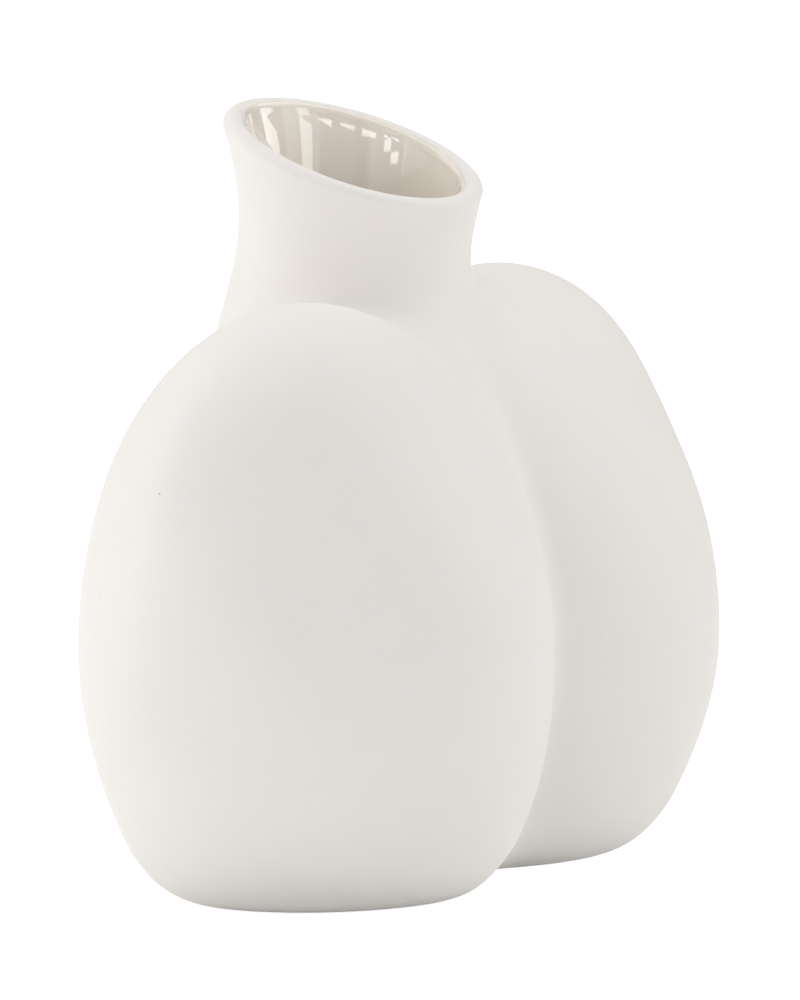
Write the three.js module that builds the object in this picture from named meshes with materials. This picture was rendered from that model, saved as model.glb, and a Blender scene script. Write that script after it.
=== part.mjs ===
// Torso vase: a slip-cast porcelain vessel with two rounded lobes, a deep crease between them
// and one flared neck whose mouth is cut at a slant. Bare outside, glazed inside.
// Frame: +X runs from the near lobe to the far lobe, +Z is up, and the crease that shows is at -Y.
// All lengths are in millimetres, with the base on the plane z = 0.
import * as THREE from "three";

// The two lobes, mirrored about the plane x = 0
const lobeOffset = 40.4;
const lobeSpread = 0.056;
const lobeHalfWidth = 54.2;
const lobeHalfDepth = 47.9;
const widestLevel = 52.3;
const lobeRise = 70.9;
const lobeDrop = 72.2;
const lobePlanPower = 1.84;
const lobeSidePower = 1.98;
const lobeTurn = THREE.MathUtils.degToRad(15.4);
const lobeLeanBack = -0.001;

// Shallow swells (height above 0) and hollows (below 0) in the skin of each lobe: how far
// their middles lie out from the crease, back from the axis and up from the base
const swellReach = 15;
const swells = [
  { out: 78.3, back: 23.3, level: 22, height: -0.9 },
  { out: 86.6, back: -1, level: 22, height: 2.2 },
  { out: 77, back: -25, level: 22, height: 2.5 },
  { out: 24.5, back: -38.8, level: 22, height: 0.6 },
  { out: 80.4, back: -27.3, level: 46, height: 1.9 },
  { out: 54.5, back: -43, level: 46, height: 1.2 },
  { out: 23.1, back: -42.4, level: 46, height: -0.3 },
  { out: 80.1, back: 24.4, level: 70, height: -1.6 },
  { out: 88.7, back: -1.1, level: 70, height: -0.6 },
  { out: 78.7, back: -26.1, level: 70, height: -2.1 },
  { out: 79.7, back: -0.9, level: 94, height: -1 },
  { out: 71.6, back: -21.3, level: 94, height: -0.6 },
  { out: 51.4, back: -33.6, level: 94, height: -2.5 },
  { out: 26.8, back: -33.1, level: 94, height: -2.1 },
];

// A long shallow hollow that slants down the outer face of each lobe
const hollowTopOut = 75;
const hollowTopBack = -8;
const hollowTopLevel = 86.5;
const hollowEndOut = 70.2;
const hollowEndBack = -32.6;
const hollowEndLevel = 55.6;
const hollowDepth = 2.6;
const hollowReach = 9.8;

// The hips, one on each side of the crease, which carry the neck down into the lobes
const hipOffset = 14.5;
const hipBack = 1.8;
const hipLevel = 84.2;
const hipHalfWidth = 14.8;
const hipHalfDepth = 20;
const hipRise = 22.5;
const hipDrop = 58.2;
const hipTurn = THREE.MathUtils.degToRad(-17.2);

// The keel, which joins the lobes at the base
const keelOffset = 3;
const keelLevel = 20;
const keelHalfWidth = 24;
const keelHalfDepth = 27;
const keelRise = 45;
const keelDrop = 60;

// The neck and its slanted mouth
const neckOffset = 11.7;
const neckLeanBack = -0.083;
const neckRadius = 23.1;
const waistLevel = 123.8;
const flareReach = 30;
const mouthFlare = 7.2;
const rootReach = 40;
const rootFlare = 5.7;
const rootShift = 4;
const neckFoot = 94.2;
const neckFootRounding = 25;
const mouthLevel = 150.8;
const mouthSlant = 0.396;
const mouthDip = 1.5;

// How softly the forms run into each other
const creaseBlend = 6.5;
const keelBlend = 10;
const hipBlend = 19.9;
const neckBlend = 7.2;
const neckFrontBlend = 14;
const neckBackBlend = 35.8;

// Walls and base
const wall = 4.4;
const floorThickness = 5;
const floorFillet = 10;
const glazeThickness = 0.5;
const footRounding = 10;
const standingRing = 5;
const recessDepth = 1.2;
const recessSlope = 2;

// A ball of clear space under the neck, where the forms meet and their distances run shallow
const clearLevel = 95;
const clearRadius = 12;

// How finely the surfaces are divided
const columns = 96;
const innerColumns = columns / 2;
const throatRows = 9;
const bodyRows = 17;
const footRows = 3;
const lipRows = 5;
const innerThroatRows = 6;
const innerBodyRows = 14;

// Every wall point lies on a ray from the axis. The rays leave level at the mouth and
// tilt upwards as their start sinks, then fan out downwards from one point inside the belly.
const fanLevel = 60;
const fanOffset = 4;
const fanSlope = 1.9;
const tiltMargin = 0.05;

const up = new THREE.Vector3(0, 0, 1);
const tiny = 1e-9;

function softMin(a, b, blend) {
  const overlap = Math.max(blend - Math.abs(a - b), 0) / blend;
  return Math.min(a, b) - (overlap * overlap * blend) / 4;
}

function softMax(a, b, blend) {
  return -softMin(-a, -b, blend);
}

// Distance, to first order, from a rounded egg whose widest level is at dz = 0. Powers of 2
// give an ellipsoid, and higher ones fill out its corners.
function eggDistance(dx, dy, dz, egg) {
  const height = dz > 0 ? egg.rise : egg.drop;
  const x = Math.abs(dx) / egg.halfWidth + tiny;
  const y = Math.abs(dy) / egg.halfDepth + tiny;
  const z = Math.abs(dz) / height + tiny;
  const plan = (x ** egg.planPower + y ** egg.planPower) ** (1 / egg.planPower);
  const size = (plan ** egg.sidePower + z ** egg.sidePower) ** (1 / egg.sidePower);
  const outward = (plan / size) ** (egg.sidePower - 1);
  const slopeX = (outward * (x / plan) ** (egg.planPower - 1)) / egg.halfWidth;
  const slopeY = (outward * (y / plan) ** (egg.planPower - 1)) / egg.halfDepth;
  const slopeZ = (z / size) ** (egg.sidePower - 1) / height;
  return (size - 1) / Math.hypot(slopeX, slopeY, slopeZ);
}

const lobe = {
  halfWidth: lobeHalfWidth,
  halfDepth: lobeHalfDepth,
  rise: lobeRise,
  drop: lobeDrop,
  planPower: lobePlanPower,
  sidePower: lobeSidePower,
};
const hip = {
  halfWidth: hipHalfWidth,
  halfDepth: hipHalfDepth,
  rise: hipRise,
  drop: hipDrop,
  planPower: 2,
  sidePower: 2,
};
const keel = {
  halfWidth: keelHalfWidth,
  halfDepth: keelHalfDepth,
  rise: keelRise,
  drop: keelDrop,
  planPower: 2,
  sidePower: 2,
};

// Distance from an egg turned about the upright line through its middle.
function turnedEggDistance(dx, dy, dz, turn, egg) {
  const along = dx * Math.cos(turn) + dy * Math.sin(turn);
  const across = dy * Math.cos(turn) - dx * Math.sin(turn);
  return eggDistance(along, across, dz, egg);
}

const hollow = new THREE.Line3(
  new THREE.Vector3(hollowTopOut, hollowTopBack, hollowTopLevel),
  new THREE.Vector3(hollowEndOut, hollowEndBack, hollowEndLevel)
);

// How far the swells lift the lobe's skin at a place, less the depth of the hollow there.
function liftAt(p, side) {
  const fade = (away) => Math.exp(-(away ** 2) / 2);
  const place = new THREE.Vector3(side * p.x, p.y, p.z);
  const nearest = hollow.closestPointToPoint(place, true, new THREE.Vector3());
  let lift = -hollowDepth * fade(place.distanceTo(nearest) / hollowReach);
  for (const { out, back, level, height } of swells) {
    const away = Math.hypot(place.x - out, place.y - back, place.z - level);
    lift += height * fade(away / swellReach);
  }
  return lift;
}

// side is -1 for the near lobe and 1 for the far one.
function lobeDistance(p, side) {
  const dz = p.z - widestLevel;
  const dx = p.x - side * (lobeOffset + lobeSpread * dz);
  const dy = p.y - lobeLeanBack * dz;
  return turnedEggDistance(dx, dy, dz, side * lobeTurn, lobe) - liftAt(p, side);
}

function hipDistance(p, side) {
  const dx = p.x - side * hipOffset;
  return turnedEggDistance(dx, p.y - hipBack, p.z - hipLevel, side * hipTurn, hip);
}

function keelDistance(p) {
  return eggDistance(p.x, p.y - keelOffset, p.z - keelLevel, keel);
}

const belowWaist = (z) => Math.max(waistLevel - z, 0) / rootReach;

// Below its waist the neck grows wider and swings forwards.
function neckCentre(z) {
  const lean = neckLeanBack * (z - waistLevel);
  return new THREE.Vector3(0, neckOffset + lean - rootShift * belowWaist(z) ** 2, z);
}

function neckRadiusAt(z) {
  const above = Math.max(z - waistLevel, 0) / flareReach;
  return neckRadius + mouthFlare * above ** 2 + rootFlare * belowWaist(z) ** 2;
}

function neckDistance(p) {
  const tube = p.distanceTo(neckCentre(p.z)) - neckRadiusAt(p.z);
  return softMax(tube, neckFoot - p.z, neckFootRounding);
}

// The neck meets the lobes in a tight fold at its sides, and runs out wider in front and behind.
function neckBlendAt(p) {
  const away = p.y - neckCentre(p.z).y;
  const share = away / (Math.hypot(p.x, away) + tiny);
  return neckBlend + (share < 0 ? neckFrontBlend : neckBackBlend) * share ** 2;
}

// Distance from the outer skin, with no base and no mouth: negative inside the clay form.
function formDistance(p) {
  const half = (side) => softMin(lobeDistance(p, side), hipDistance(p, side), hipBlend);
  const halves = softMin(half(-1), half(1), creaseBlend);
  const lower = softMin(halves, keelDistance(p), keelBlend);
  return softMin(lower, neckDistance(p), neckBlendAt(p));
}

// Distance from the cavity wall, which lies depth inside the outer skin and above the floor.
function cavityDistance(p, depth) {
  const clear = p.distanceTo(neckCentre(clearLevel)) - clearRadius;
  const inside = Math.min(formDistance(p) + depth, clear);
  return softMax(inside, floorThickness + depth - wall - p.z, floorFillet);
}

// Follows a ray from inside until the distance turns positive, then closes in on the skin.
function castRay(start, direction, distance) {
  const step = 1.5;
  const halvings = 26;
  const point = start.clone();
  let inside = 0;
  while (distance(point) < 0) {
    inside += step;
    point.copy(start).addScaledVector(direction, inside);
  }
  let low = inside - step;
  let high = inside;
  for (let i = 0; i < halvings; i++) {
    const middle = (low + high) / 2;
    point.copy(start).addScaledVector(direction, middle);
    if (distance(point) < 0) low = middle;
    else high = middle;
  }
  return point;
}

function heading(angle, slope) {
  return new THREE.Vector3(Math.cos(angle), Math.sin(angle), slope).normalize();
}

const fanCentre = new THREE.Vector3(0, fanOffset, fanLevel);
const fanTop = Math.atan(fanSlope);
const straightDown = -Math.PI / 2;
const bareSide = (p) => formDistance(p);
const claySide = (p) => cavityDistance(p, wall);
const glazeSide = (p) => cavityDistance(p, wall + glazeThickness);

// The height of the lip's middle at one angle, on a mouth that slants down towards the front
// and dips a little in front and behind.
function lipLevel(angle) {
  const back = Math.sin(angle);
  const reach = neckRadiusAt(mouthLevel) - wall / 2;
  return mouthLevel + mouthSlant * reach * back - mouthDip * back ** 2 - wall / 2;
}

// One wall point on the throat's rays: share runs from 0 at the lip to 1 at the fan's top.
function throatPoint(angle, share, distance) {
  const start = neckCentre(lipLevel(angle)).lerp(fanCentre, share);
  return castRay(start, heading(angle, share * fanSlope), distance);
}

// One wall point on the fan's rays, at a tilt above the level.
function fanPoint(angle, tilt, distance) {
  return castRay(fanCentre, heading(angle, Math.tan(tilt)), distance);
}

// The tilt of the fan's ray that meets the outer skin at a given height near the base.
function tiltToLevel(angle, level) {
  const halvings = 22;
  let low = straightDown + tiltMargin;
  let high = 0;
  for (let i = 0; i < halvings; i++) {
    const middle = (low + high) / 2;
    if (fanPoint(angle, middle, bareSide).z < level) low = middle;
    else high = middle;
  }
  return high;
}

// The outer side of one meridian, from the lip down to the edge of the recess under the base.
function outerMeridian(angle) {
  const points = [];
  for (let i = 0; i < throatRows; i++) {
    points.push(throatPoint(angle, i / throatRows, bareSide));
  }
  const lowest = tiltToLevel(angle, footRounding);
  for (let i = 0; i < bodyRows; i++) {
    const tilt = THREE.MathUtils.lerp(fanTop, lowest, i / bodyRows);
    points.push(fanPoint(angle, tilt, bareSide));
  }
  const wallEnd = fanPoint(angle, lowest, bareSide);
  const corner = fanPoint(angle, tiltToLevel(angle, 0), bareSide).setZ(0);
  const inset = (amount, level) =>
    corner.clone().addScaledVector(heading(angle, 0), -amount).setZ(level);
  const rounding = new THREE.QuadraticBezierCurve3(wallEnd, corner, inset(footRounding, 0));
  points.push(...rounding.getPoints(footRows));
  points.push(inset(footRounding + standingRing, 0));
  points.push(inset(footRounding + standingRing + recessSlope, recessDepth));
  return points;
}

// The cavity side of one meridian, from the lip down to just short of the floor's middle.
function cavityMeridian(angle, distance) {
  const points = [];
  for (let i = 0; i < innerThroatRows; i++) {
    points.push(throatPoint(angle, i / innerThroatRows, distance));
  }
  for (let i = 0; i < innerBodyRows; i++) {
    const tilt = THREE.MathUtils.lerp(fanTop, straightDown, i / innerBodyRows);
    points.push(fanPoint(angle, tilt, distance));
  }
  return points;
}

// The half round lip of one meridian, from the outer wall over to the cavity side.
function lipArc(angle) {
  const outer = throatPoint(angle, 0, bareSide);
  const inner = throatPoint(angle, 0, claySide);
  const centre = outer.clone().add(inner).divideScalar(2);
  const across = outer.clone().sub(centre);
  const radius = across.length();
  across.normalize();
  const rise = up.clone().addScaledVector(across, -up.dot(across)).normalize();
  const points = [];
  for (let i = 1; i < lipRows; i++) {
    const turn = (Math.PI * i) / lipRows;
    const point = centre.clone().addScaledVector(across, radius * Math.cos(turn));
    points.push(point.addScaledVector(rise, radius * Math.sin(turn)));
  }
  return points;
}

// Rows of points, one meridian for each column, turned into rings round the vase.
function ringsOf(count, meridian) {
  const meridians = Array.from({ length: count }, (_, i) =>
    meridian(straightDown + (2 * Math.PI * i) / count)
  );
  return meridians[0].map((_, row) => meridians.map((points) => points[row]));
}

// Joins rings of points into one skin. Each four-sided cell is cut along the diagonal that is
// short on the guide, so that two skins over the same rays have the same cells and never cross.
// Neighbouring rings have as many points or a whole multiple, and a ring of one point closes
// an end. Seen from outside, each ring runs to the right and the next one lies below it.
function skinOver(rings, guide = rings) {
  const points = rings.flat();
  const guidePoints = guide.flat();
  const faces = [];
  let firstNumber = 0;
  for (let row = 1; row < rings.length; row++) {
    const upper = rings[row - 1].length;
    const lower = rings[row].length;
    const steps = Math.max(upper, lower);
    const inUpper = (i) => firstNumber + (Math.floor((i * upper) / steps) % upper);
    const inLower = (i) => firstNumber + upper + (Math.floor((i * lower) / steps) % lower);
    for (let i = 0; i < steps; i++) {
      const [a, aNext, b, bNext] = [inUpper(i), inUpper(i + 1), inLower(i), inLower(i + 1)];
      const span = (m, n) => guidePoints[m].distanceToSquared(guidePoints[n]);
      if (a === aNext) faces.push(a, b, bNext);
      else if (b === bNext) faces.push(a, b, aNext);
      else if (span(a, bNext) < span(b, aNext)) faces.push(a, b, bNext, a, bNext, aNext);
      else faces.push(a, b, aNext, b, bNext, aNext);
    }
    firstNumber += upper;
  }
  const geometry = new THREE.BufferGeometry().setFromPoints(points);
  geometry.setIndex(faces);
  geometry.computeVertexNormals();
  return geometry;
}

function floorMiddle(distance) {
  return castRay(fanCentre, up.clone().negate(), distance);
}

// The clay shell: up the cavity side, over the lip, down the outside and under the base.
function porcelainBody() {
  const cavity = ringsOf(innerColumns, (angle) => cavityMeridian(angle, claySide));
  const lip = ringsOf(columns, lipArc);
  const outside = ringsOf(columns, outerMeridian);
  const underside = fanCentre.clone().setZ(recessDepth);
  return skinOver([
    [floorMiddle(claySide)],
    ...cavity.reverse(),
    ...lip.reverse(),
    ...outside,
    [underside],
  ]);
}

// The glaze that lines the cavity: its clay side is the cavity side of the body.
function innerGlaze() {
  const bare = ringsOf(innerColumns, (angle) => cavityMeridian(angle, glazeSide));
  const bonded = ringsOf(innerColumns, (angle) => cavityMeridian(angle, claySide));
  const floor = [floorMiddle(claySide)];
  return skinOver(
    [[floorMiddle(glazeSide)], ...bare.reverse(), ...bonded, floor],
    [floor, ...bonded.toReversed(), ...bonded, floor]
  );
}

const porcelain = new THREE.MeshStandardMaterial({
  name: "bare porcelain",
  color: "#eeebe7",
  roughness: 0.8,
  metalness: 0,
});
const glaze = new THREE.MeshStandardMaterial({
  name: "clear glaze over porcelain",
  color: "#e3dbd1",
  roughness: 0.12,
  metalness: 0,
});

const vase = new THREE.Group();
const body = new THREE.Mesh(porcelainBody(), porcelain);
body.name = "porcelain_body";
const lining = new THREE.Mesh(innerGlaze(), glaze);
lining.name = "inner_glaze";
vase.add(body, lining);

// The origin lies under the middle of the vase, on the plane that it stands on.
const middle = new THREE.Box3().setFromObject(body).getCenter(new THREE.Vector3());
vase.children.forEach((mesh) => mesh.geometry.translate(0, -middle.y, 0));

export default vase;
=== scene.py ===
import math

import bpy
import numpy as np
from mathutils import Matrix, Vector


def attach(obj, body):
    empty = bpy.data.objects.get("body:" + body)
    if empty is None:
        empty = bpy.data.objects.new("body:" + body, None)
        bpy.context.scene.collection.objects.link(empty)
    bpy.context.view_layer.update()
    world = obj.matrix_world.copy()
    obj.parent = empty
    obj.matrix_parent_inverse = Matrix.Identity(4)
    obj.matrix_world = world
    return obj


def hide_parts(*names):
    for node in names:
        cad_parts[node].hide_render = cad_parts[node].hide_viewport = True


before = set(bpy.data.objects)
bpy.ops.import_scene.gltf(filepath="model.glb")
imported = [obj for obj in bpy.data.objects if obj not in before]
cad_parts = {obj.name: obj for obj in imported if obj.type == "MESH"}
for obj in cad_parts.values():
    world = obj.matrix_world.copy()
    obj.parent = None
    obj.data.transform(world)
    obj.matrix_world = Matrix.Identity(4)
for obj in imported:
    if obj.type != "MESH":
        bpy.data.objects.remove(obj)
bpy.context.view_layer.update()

# Porcelain body
# One slip-cast shell: two rounded lobes, a deep crease between them and a flared neck with a
# slanted mouth. Liquid clay set against a plaster mould, its seams were sponged away, and it
# was fired to bare white bisque porcelain, smooth and matte like an eggshell.

MM = 0.001

# Lobes: sizes in millimetres, x out from the crease, y towards the back and z up from the base
lobe_offset = 40.4
lobe_spread = 0.056
lobe_half_width = 54.2
lobe_half_depth = 47.9
widest_level = 52.3
lobe_rise = 70.9
lobe_drop = 72.2
lobe_plan_power = 1.84
lobe_side_power = 1.98
lobe_turn = math.radians(15.4)
lobe_lean_back = -0.001

# Shallow swells (above 0) and hollows (below 0) of each lobe: millimetres out from the crease,
# back from the axis and up from the base, then how far the skin is lifted there.
swell_reach = 15
swells = [
    (78.3, 23.3, 22, -0.9),
    (86.6, -1, 22, 2.2),
    (77, -25, 22, 2.5),
    (24.5, -38.8, 22, 0.6),
    (80.4, -27.3, 46, 1.9),
    (54.5, -43, 46, 1.2),
    (23.1, -42.4, 46, -0.3),
    (80.1, 24.4, 70, -1.6),
    (88.7, -1.1, 70, -0.6),
    (78.7, -26.1, 70, -2.1),
    (79.7, -0.9, 94, -1),
    (71.6, -21.3, 94, -0.6),
    (51.4, -33.6, 94, -2.5),
    (26.8, -33.1, 94, -2.1),
]

# A long shallow hollow slants over each lobe's face, from its top end to its lower end
hollow_top_out = 75
hollow_top_back = -8
hollow_top_level = 86.5
hollow_end_out = 70.2
hollow_end_back = -32.6
hollow_end_level = 55.6
hollow_depth = 2.6
hollow_reach = 9.8

# Hips: the masses beside the crease that carry the neck down into the lobes
hip_offset = 14.5
hip_back = 1.8
hip_level = 84.2
hip_half_width = 14.8
hip_half_depth = 20
hip_rise = 22.5
hip_drop = 58.2
hip_turn = math.radians(-17.2)

# Keel: what joins the lobes low down
keel_offset = 3
keel_level = 20
keel_half_width = 24
keel_half_depth = 27
keel_rise = 45
keel_drop = 60

# Neck: a waist, a root that widens below it and a flare up to the cut of the mouth
neck_offset = 11.7
neck_lean_back = -0.083
neck_radius = 23.8
waist_level = 123.8
flare_reach = 30
mouth_flare = 5.1
root_reach = 40
root_flare = 5.7
root_shift = 4
neck_foot = 94.2
neck_foot_rounding = 25
mouth_level = 150.3
mouth_slant = 0.34
mouth_across = 0.063
mouth_lift = 0.65

# How widely neighbouring forms run into each other
crease_blend = 6.5
keel_blend = 10
hip_blend = 19.9
neck_blend = 7.2
neck_front_blend = 14
neck_back_blend = 35.8

wall = 4.4
floor_thickness = 5
floor_fillet = 10
foot_rounding = 10
standing_ring = 5
recess_depth = 1.2
recess_slope = 2

# A ball of clear space under the neck, where the forms meet and their distances run shallow
clear_level = 95
clear_radius = 12

# The form's own zero lies this far in front of the middle of its outline
to_middle = 0.25

# The skin's points lie on rays: a fan from inside the belly, then rays that level out up the
# throat. The counts are of rings
columns = 320
throat_count = 60
body_count = 150
foot_count = 13
lip_count = 25
clay_throat_count = 40
clay_body_count = 90
fan_centre = np.array([0.0, 4.0, 60.0])
fan_slope = 1.9
round_angles = -math.pi / 2 + 2 * math.pi * np.arange(columns) / columns


def soft_min(a, b, blend):
    """The smaller of two distances, rounded over where they differ by less than the blend."""
    overlap = np.maximum(blend - np.abs(a - b), 0) / blend
    return np.minimum(a, b) - overlap**2 * blend / 4


def soft_max(a, b, blend):
    """The larger of two distances, rounded over in the same way."""
    return -soft_min(-a, -b, blend)


def egg_distance(x, y, z, half_width, half_depth, rise, drop, plan_power=2, side_power=2, turn=0):
    """Distance, to first order, from an egg turned about the upright line, widest at z = 0."""
    tiny = 1e-9
    height = np.where(z > 0, rise, drop)
    x, y = x * math.cos(turn) + y * math.sin(turn), y * math.cos(turn) - x * math.sin(turn)
    x, y, z = np.abs(x) / half_width + tiny, np.abs(y) / half_depth + tiny, np.abs(z) / height + tiny
    plan = (x**plan_power + y**plan_power) ** (1 / plan_power)
    size = (plan**side_power + z**side_power) ** (1 / side_power)
    outward = (plan / size) ** (side_power - 1)
    slope_x = outward * (x / plan) ** (plan_power - 1) / half_width
    slope_y = outward * (y / plan) ** (plan_power - 1) / half_depth
    slope_z = (z / size) ** (side_power - 1) / height
    return (size - 1) / np.sqrt(slope_x**2 + slope_y**2 + slope_z**2)


def lift_at(p, side):
    """How far the swells lift a lobe's skin at a place, less the depth of the hollow there."""
    place = p * [side, 1, 1]
    top = np.array([hollow_top_out, hollow_top_back, hollow_top_level], float)
    along = np.array([hollow_end_out, hollow_end_back, hollow_end_level]) - top
    share = np.clip((place - top) @ along / (along @ along), 0, 1)
    away = ((place - top - share[..., None] * along) ** 2).sum(-1)
    lift = -hollow_depth * np.exp(-away / (2 * hollow_reach**2))
    for out, back, level, height in swells:
        away = ((place - [out, back, level]) ** 2).sum(-1)
        lift = lift + height * np.exp(-away / (2 * swell_reach**2))
    return lift


def lobe_distance(p, side):
    """Distance from one of the two lobes, with its hollow and swells."""
    z = p[..., 2] - widest_level
    x = p[..., 0] - side * (lobe_offset + lobe_spread * z)
    y = p[..., 1] - lobe_lean_back * z
    return egg_distance(x, y, z, lobe_half_width, lobe_half_depth, lobe_rise, lobe_drop,
                        lobe_plan_power, lobe_side_power, side * lobe_turn) - lift_at(p, side)


def hip_distance(p, side):
    """The rounded mass beside the crease that carries the neck down into a lobe."""
    return egg_distance(p[..., 0] - side * hip_offset, p[..., 1] - hip_back,
                        p[..., 2] - hip_level, hip_half_width, hip_half_depth, hip_rise, hip_drop,
                        turn=side * hip_turn)


def below_waist(z):
    """How far below the neck's waist a height is, as a share of the root's reach."""
    return np.maximum(waist_level - z, 0) / root_reach


def neck_axis(z):
    """How far back the neck's axis lies at a height."""
    return neck_offset + neck_lean_back * (z - waist_level) - root_shift * below_waist(z) ** 2


def neck_radius_at(z):
    """The neck's outer radius at a height."""
    above = np.maximum(z - waist_level, 0) / flare_reach
    return neck_radius + mouth_flare * above**2 + root_flare * below_waist(z) ** 2


def form_distance(p):
    """Distance from the outer skin: the lobes, hips, keel and neck, run softly together."""
    x, y, z = p[..., 0], p[..., 1], p[..., 2]
    keel = egg_distance(x, y - keel_offset, z - keel_level, keel_half_width, keel_half_depth,
                        keel_rise, keel_drop)
    away = y - neck_axis(z)
    from_axis = np.hypot(x, away)
    neck = soft_max(from_axis - neck_radius_at(z), neck_foot - z, neck_foot_rounding)
    halves = [soft_min(lobe_distance(p, side), hip_distance(p, side), hip_blend) for side in (-1, 1)]
    lower = soft_min(soft_min(*halves, crease_blend), keel, keel_blend)
    widening = np.where(away < 0, neck_front_blend, neck_back_blend)
    return soft_min(lower, neck, neck_blend + widening * (away / (from_axis + 1e-9)) ** 2)


def cavity_distance(p, depth):
    """Distance from a skin that lies depth inside the outer one and above the floor."""
    clear = np.linalg.norm(p - [0, neck_axis(clear_level), clear_level], axis=-1) - clear_radius
    inside = np.minimum(form_distance(p) + depth, clear)
    return soft_max(inside, floor_thickness + depth - wall - p[..., 2], floor_fillet)


def cast_rays(start, direction, distance):
    """The first point on each ray where the distance turns positive."""
    step, halvings, longest = 3.0, 17, 140
    start, direction = np.broadcast_arrays(start, direction)
    inside = np.zeros(direction.shape[:-1])
    live = np.nonzero(np.ones_like(inside))
    for _ in range(int(longest / step)):
        ahead = start[live] + direction[live] * (inside[live] + step)[..., None]
        still = distance(ahead) < 0
        live = tuple(index[still] for index in live)
        inside[live] += step
    low, high = inside, inside + step
    for _ in range(halvings):
        middle = (low + high) / 2
        is_in = distance(start + direction * middle[..., None]) < 0
        low, high = np.where(is_in, middle, low), np.where(is_in, high, middle)
    return start + direction * ((low + high) / 2)[..., None]


def heading(angle, slope):
    """Unit directions at angles round the vase and at slopes above the level."""
    angle, slope = np.broadcast_arrays(angle, slope)
    direction = np.stack([np.cos(angle), np.sin(angle), slope], -1)
    return direction / np.linalg.norm(direction, axis=-1, keepdims=True)


def lip_level(angle):
    """The height of the wall's end under the lip, at an angle round the mouth."""
    reach = neck_radius_at(mouth_level) - wall / 2
    slant = mouth_slant * np.sin(angle) + mouth_across * np.cos(angle)
    return mouth_level + slant * reach + mouth_lift * np.sin(angle) ** 2 - wall / 2


def throat_rows(shares, distance):
    """Rings of wall points below the lip: a share runs from 0 at the lip to 1 at the fan's top."""
    level = lip_level(round_angles)
    top = np.stack([np.zeros(columns), neck_axis(level), level], -1)
    shares = np.asarray(shares, float)[:, None]
    start = top[None] + (fan_centre - top)[None] * shares[..., None]
    return cast_rays(start, heading(round_angles[None], shares * fan_slope), distance)


def fan_rows(tilts, distance):
    """Rings of wall points on rays that fan out from one point, at tilts above the level."""
    direction = heading(round_angles[None], np.tan(np.asarray(tilts, float)))
    return cast_rays(np.broadcast_to(fan_centre, direction.shape), direction, distance)


def tilts_to_level(level):
    """For each column, the tilt whose ray meets the outer skin at a height near the base."""
    low = np.full((1, columns), -math.pi / 2 + 0.05)
    high = np.zeros((1, columns))
    for _ in range(20):
        middle = (low + high) / 2
        is_low = fan_rows(middle, form_distance)[..., 2] < level
        low, high = np.where(is_low, middle, low), np.where(is_low, high, middle)
    return high


def outer_rows():
    """The outside of the vase, from below the lip to the middle of the underside."""
    throat = throat_rows(np.arange(throat_count) / throat_count, form_distance)
    lowest = tilts_to_level(foot_rounding)
    share = (np.arange(body_count) / body_count)[:, None]
    body = fan_rows((1 - share) * math.atan(fan_slope) + share * lowest, form_distance)
    wall_end = fan_rows(lowest, form_distance)[0]
    corner = fan_rows(tilts_to_level(0), form_distance)[0] * [1, 1, 0]
    outward = heading(round_angles, 0)

    def inset(amount, level):
        """The base's outline moved inwards, at a level."""
        return corner - outward * amount + [0, 0, level]

    turn = np.linspace(0, 1, foot_count)[:, None, None]
    ring_edge = inset(foot_rounding, 0)
    foot = wall_end * (1 - turn) ** 2 + corner * 2 * turn * (1 - turn) + ring_edge * turn**2
    recess = foot_rounding + standing_ring
    flat = [inset(foot_rounding + standing_ring * s, 0) for s in (0.5, 1)]
    slope = [inset(recess + recess_slope * s, recess_depth * (3 * s * s - 2 * s**3))
             for s in (0.25, 0.5, 0.75, 1)]
    middle = fan_centre * [1, 1, 0] + [0, 0, recess_depth]
    last = inset(recess + recess_slope, recess_depth)
    under = [last + (middle - last) * s for s in (0.33, 0.66, 0.96)]
    return np.concatenate([throat, body, foot, np.array(flat + slope + under)])


def lip_rows(turns, swell=0.0):
    """Rings over the lip's half round: a turn runs from 0 at the outer wall to pi at the cavity."""
    outer = throat_rows([0], form_distance)[0]
    inner = throat_rows([0], lambda p: cavity_distance(p, wall))[0]
    centre = (outer + inner) / 2
    across = outer - centre
    radius = np.linalg.norm(across, axis=-1, keepdims=True)
    across = across / radius
    up = np.array([0, 0, 1.0])
    rise = up - across * across[:, 2:]
    rise /= np.linalg.norm(rise, axis=-1, keepdims=True)
    turns = np.asarray(turns, float)[:, None, None]
    swell = np.broadcast_to(swell, turns.shape[:1])[:, None, None]
    return centre + (radius + swell) * (across * np.cos(turns) + rise * np.sin(turns))


def cavity_rows(distance):
    """The cavity side, from the lip down to just short of the floor's middle."""
    throat = throat_rows(np.arange(clay_throat_count) / clay_throat_count, distance)
    share = (np.arange(clay_body_count) / clay_body_count)[:, None]
    tilts = (1 - share) * math.atan(fan_slope) - share * math.pi / 2
    belly = fan_rows(np.broadcast_to(tilts, (clay_body_count, columns)), distance)
    return np.concatenate([throat, belly])


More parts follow.
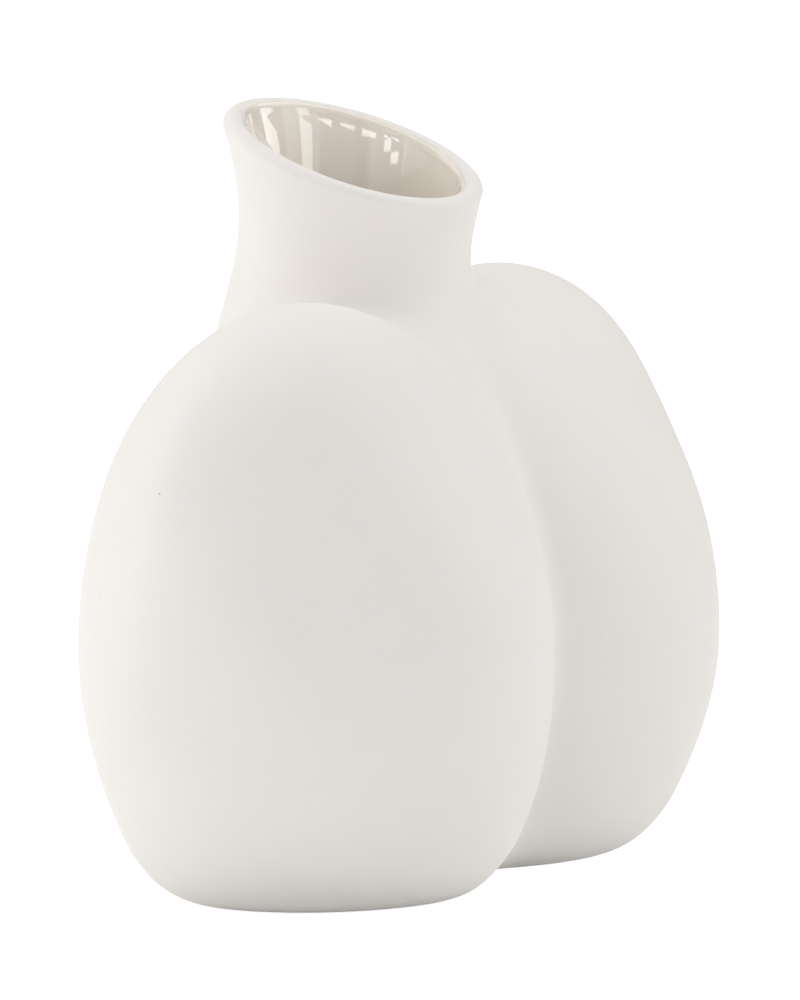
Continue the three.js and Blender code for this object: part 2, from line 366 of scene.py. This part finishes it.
def skin_over(name, rows):
    """A smooth closed mesh over rings of points in millimetres, each end closed by one point."""
    count = len(rows)
    points = np.concatenate([rows.reshape(-1, 3), rows[[0, -1]].mean(1)]) + [0, to_middle, 0]
    here = np.arange(count * columns).reshape(count, columns)
    beside = np.roll(here, -1, 1)
    quads = np.stack([here[:-1], here[1:], beside[1:], beside[:-1]], -1).reshape(-1, 4).tolist()
    first, last = count * columns, count * columns + 1
    ends = [[first, a, b] for a, b in zip(here[0], beside[0])]
    ends += [[b, a, last] for a, b in zip(here[-1], beside[-1])]
    mesh = bpy.data.meshes.new(name)
    mesh.from_pydata((points * MM).tolist(), [], quads + [[int(i) for i in end] for end in ends])
    mesh.validate()
    mesh.shade_smooth()
    piece = bpy.data.objects.new(name, mesh)
    bpy.context.scene.collection.objects.link(piece)
    return piece


clay_rows = cavity_rows(lambda p: cavity_distance(p, wall))[::-1]
crest_rows = lip_rows(np.linspace(0, math.pi, lip_count)[1:-1])[::-1]
porcelain_shell = skin_over("porcelain_shell", np.concatenate([clay_rows, crest_rows, outer_rows()]))


def linear(hex_colour):
    """An sRGB hex colour as linear red, green, blue and alpha."""
    parts = [int(hex_colour[i:i + 2], 16) / 255 for i in (1, 3, 5)]
    return [c / 12.92 if c <= 0.04045 else ((c + 0.055) / 1.055) ** 2.4 for c in parts] + [1]


def node(material, kind, links=(), **settings):
    """Adds a node: settings name its sockets or properties, and links join sockets to it."""
    made = material.node_tree.nodes.new(kind)
    for key, value in settings.items():
        socket = made.inputs.get(key.replace("_", " "))
        if hasattr(made, key):
            setattr(made, key, value)
        else:
            socket.default_value = value
    for target, source in dict(links).items():
        material.node_tree.links.new(source, made.inputs[target])
    return made


def new_material(name):
    """An empty node material."""
    material = bpy.data.materials.new(name)
    material.use_nodes = True
    material.node_tree.nodes.clear()
    return material


# Bisque porcelain: fired without glaze, then rubbed smooth. Light sinks a little way into it,
# and it shows a fine grain, soft clouds of tone and a few dark iron specks. The real grain is
# about a tenth of a millimetre and is drawn coarser, so that it shows.
grain_size = 0.9 * MM
grain_height = 0.06 * MM
cloud_size = 24 * MM
speck_spacing = 14 * MM
speck_core = 0.14 * MM
speck_edge = 0.308 * MM
sink_depth = 2 * MM

bisque = new_material("bisque porcelain, slip cast and unglazed")
place = node(bisque, "ShaderNodeTexCoord").outputs["Object"]
grain = node(bisque, "ShaderNodeTexNoise", {"Vector": place}, Scale=1 / grain_size, Detail=3.0,
             Roughness=0.6)
clouds = node(bisque, "ShaderNodeTexNoise", {"Vector": place}, Scale=1 / cloud_size, Detail=2.0)
tone = node(bisque, "ShaderNodeMix", {"Factor": clouds.outputs["Fac"]}, data_type="RGBA")
tone.inputs["A"].default_value = linear("#ebe7e3")
tone.inputs["B"].default_value = linear("#efebe7")
nearest = node(bisque, "ShaderNodeTexVoronoi", {"Vector": place}, Scale=1 / speck_spacing)
speck = node(bisque, "ShaderNodeMapRange", {"Value": nearest.outputs["Distance"]},
             From_Min=speck_core / speck_spacing, From_Max=speck_edge / speck_spacing,
             To_Min=0.6, To_Max=0)
speckled = node(bisque, "ShaderNodeMix", {"Factor": speck.outputs["Result"]}, data_type="RGBA")
bisque.node_tree.links.new(tone.outputs["Result"], speckled.inputs["A"])
speckled.inputs["B"].default_value = linear("#6b5f57")
bump = node(bisque, "ShaderNodeBump", {"Height": grain.outputs["Fac"]}, Strength=0.12,
            Distance=grain_height)
surface = node(bisque, "ShaderNodeBsdfPrincipled",
               {"Base Color": speckled.outputs["Result"], "Normal": bump.outputs["Normal"]},
               Roughness=0.62, IOR=1.5, Subsurface_Weight=0.12, Subsurface_Scale=sink_depth)
surface.inputs["Subsurface Radius"].default_value = (1.0, 0.85, 0.7)
node(bisque, "ShaderNodeOutputMaterial", {"Surface": surface.outputs["BSDF"]})
porcelain_shell.data.materials.append(bisque)

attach(porcelain_shell, "root")
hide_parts("porcelain_body")

# Inner glaze
# A coat of clear glaze poured in and out before the second firing, so that the vase holds
# water. It lines the cavity up to the lip's inner edge, where it thins out, and it is smooth
# as glass.

glaze_thickness = 0.5
glaze_edge = 0.1
edge_turn = math.radians(140)
edge_count = 16

coat_turns = np.linspace(edge_turn, math.pi, edge_count)[:-1]
coat_share = np.linspace(0, 1, edge_count)[:-1]
coat_swell = glaze_edge + (glaze_thickness - glaze_edge) * coat_share**0.5
glazed = cavity_rows(lambda p: cavity_distance(p, wall + glaze_thickness))[::-1]
bonded = cavity_rows(lambda p: cavity_distance(p, wall))
over_lip = lip_rows(coat_turns, coat_swell)[::-1]
under_lip = lip_rows(coat_turns)
glaze_coat = skin_over("glaze_coat", np.concatenate([glazed, over_lip, under_lip, bonded]))

# Clear feldspar glaze, fired until it flowed: it mirrors the windows sharply, ripples a little
# and warms the white clay, unevenly where it pooled.
pooling_size = 18 * MM
ripple_height = 0.3 * MM

clear_glaze = new_material("clear glaze over porcelain, fired glossy")
place = node(clear_glaze, "ShaderNodeTexCoord").outputs["Object"]
pooling = node(clear_glaze, "ShaderNodeTexNoise", {"Vector": place}, Scale=1 / pooling_size,
               Detail=2.0)
tone = node(clear_glaze, "ShaderNodeMix", {"Factor": pooling.outputs["Fac"]}, data_type="RGBA")
tone.inputs["A"].default_value = linear("#eee6da")
tone.inputs["B"].default_value = linear("#f2ebe1")
ripple = node(clear_glaze, "ShaderNodeBump", {"Height": pooling.outputs["Fac"]}, Strength=0.1,
              Distance=ripple_height)
surface = node(clear_glaze, "ShaderNodeBsdfPrincipled",
               {"Base Color": tone.outputs["Result"], "Normal": ripple.outputs["Normal"]},
               Roughness=0.035, IOR=1.52)
node(clear_glaze, "ShaderNodeOutputMaterial", {"Surface": surface.outputs["BSDF"]})
glaze_coat.data.materials.append(clear_glaze)

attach(glaze_coat, "root")
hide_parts("inner_glaze")

# Studio
# A plain white table and a tent of soft light: bright from both sides and from above, dimmer
# from where the camera stands, so that the edges of the pale body glow and its front is grey.

azimuth = math.radians(-63.3)
elevation = math.radians(7.0)
camera_distance = 3.0
pixels_across = 800
focal_pixels = 14400
aim = Vector((0, 5.1, 85)) * MM
shift_right = 3.5 * MM
shift_down = 7.5 * MM

back = Vector((math.sin(azimuth) * math.cos(elevation), -math.cos(azimuth) * math.cos(elevation),
               math.sin(elevation)))
right = Vector((math.cos(azimuth), math.sin(azimuth), 0))
up = back.cross(right)
aim += right * shift_right - up * shift_down

camera = bpy.data.objects.new("camera", bpy.data.cameras.new("camera"))
bpy.context.scene.collection.objects.link(camera)
camera.location = aim + back * camera_distance
camera.rotation_euler = back.to_track_quat("Z", "Y").to_euler()
camera.data.sensor_fit = "HORIZONTAL"
camera.data.lens = camera.data.sensor_width * focal_pixels / pixels_across
camera.data.clip_start = 0.1
camera.data.clip_end = 50
bpy.context.scene.camera = camera

table_size = 12.0
table_mesh = bpy.data.meshes.new("table")
corners = [(-1, -1), (1, -1), (1, 1), (-1, 1)]
table_mesh.from_pydata([(x * table_size, y * table_size, 0) for x, y in corners], [], [[0, 1, 2, 3]])
table = bpy.data.objects.new("table", table_mesh)
bpy.context.scene.collection.objects.link(table)

# White paper that also glows to the camera and in the glaze, so that it looks white there. Near the
# vase the glow is turned down, a painted shade, and the vase's own shadow also shows there.
near_radius = 0.12
far_radius = 0.5
glow_in_painted_shade = 0.85

paper = new_material("white studio table")
diffuse = node(paper, "ShaderNodeBsdfDiffuse", Color=linear("#f2f2f2"))
rays = node(paper, "ShaderNodeLightPath").outputs
seen = node(paper, "ShaderNodeMath", {0: rays["Is Camera Ray"], 1: rays["Is Glossy Ray"]},
            operation="ADD")
seen_or_through = node(paper, "ShaderNodeMath",
                       {0: seen.outputs["Value"], 1: rays["Is Transmission Ray"]},
                       operation="ADD", use_clamp=True)
place = node(paper, "ShaderNodeTexCoord").outputs["Object"]
away = node(paper, "ShaderNodeVectorMath", {"Vector": place}, operation="LENGTH")
# Painted shade: the glow is weaker near the vase and rises to full strength further out.
glow = node(paper, "ShaderNodeMapRange", {"Value": away.outputs["Value"]},
            From_Min=near_radius, From_Max=far_radius, To_Min=glow_in_painted_shade, To_Max=1)
strength = node(paper, "ShaderNodeMath",
                {0: seen_or_through.outputs["Value"], 1: glow.outputs["Result"]},
                operation="MULTIPLY")
lift = node(paper, "ShaderNodeEmission", {"Strength": strength.outputs["Value"]},
            Color=linear("#ffffff"))
both = node(paper, "ShaderNodeAddShader", {0: diffuse.outputs["BSDF"], 1: lift.outputs["Emission"]})
node(paper, "ShaderNodeOutputMaterial", {"Surface": both.outputs["Shader"]})
table.data.materials.append(paper)

lamp_distance = 1.5
lit_height = 0.08


def add_lamp(name, turn, rise, width, height, watts):
    """An area lamp that faces the vase, placed by degrees round from the camera and above level."""
    light = bpy.data.lights.new(name, "AREA")
    light.shape = "RECTANGLE"
    light.size, light.size_y, light.energy = width, height, watts
    lamp = bpy.data.objects.new(name, light)
    bpy.context.scene.collection.objects.link(lamp)
    level, steep = azimuth + math.radians(turn), math.radians(rise)
    towards = Vector((math.sin(level) * math.cos(steep), -math.cos(level) * math.cos(steep),
                      math.sin(steep)))
    lamp.location = Vector((0, 0, lit_height)) + towards * lamp_distance
    lamp.rotation_euler = towards.to_track_quat("Z", "Y").to_euler()
    lamp.visible_camera = False
    return light


# The soft boxes, all alike: degrees round from the camera, degrees above the level and watts.
soft_box_size = 1.1
soft_boxes = [
    (-150, 15, 0.8), (-110, 15, 3.8), (-70, 15, 6.1), (-30, 15, 4.6), (0, 20, 1.0),
    (30, 15, 1.0), (70, 15, 4.4), (110, 15, 0.5), (180, 12, 1.8), (-120, 50, 6.0),
    (120, 50, 7.3), (180, 50, 1.5), (0, 88, 5.1),
]
for number, (turn, rise, watts) in enumerate(soft_boxes):
    add_lamp("soft_box_%d" % number, turn, rise, soft_box_size, soft_box_size, watts)

# Tall windows and a row of small panels that only add mirrored light, for the glaze to show:
# turn and rise in degrees, how many degrees wide and high each looks from the vase, and its
# brightness next to white paper.
panels = [(112, 11.5, 20, 8, 4), (64, 17.5, 13, 14, 4), (43, 28, 14, 1.8, 7),
          (18, 29.5, 14, 1.8, 7), (-6, 29, 14, 2, 7), (-28, 26.5, 7, 3, 7), (-38, 23.5, 8, 3, 7)]
for number, (turn, rise, wide, high, brightness) in enumerate(panels):
    width, height = (math.radians(angle) * lamp_distance for angle in (wide, high))
    panel = add_lamp("panel_%d" % number, turn, rise, width, height,
                     brightness * math.pi * width * height)
    panel.diffuse_factor = 0

world = bpy.data.worlds.new("dim white room")
bpy.context.scene.world = world
world.use_nodes = True
world.node_tree.nodes["Background"].inputs["Color"].default_value = linear("#ffffff")
world.node_tree.nodes["Background"].inputs["Strength"].default_value = 0.04

bpy.context.scene.view_settings.view_transform = "Standard"

bpy.context.view_layer.update()
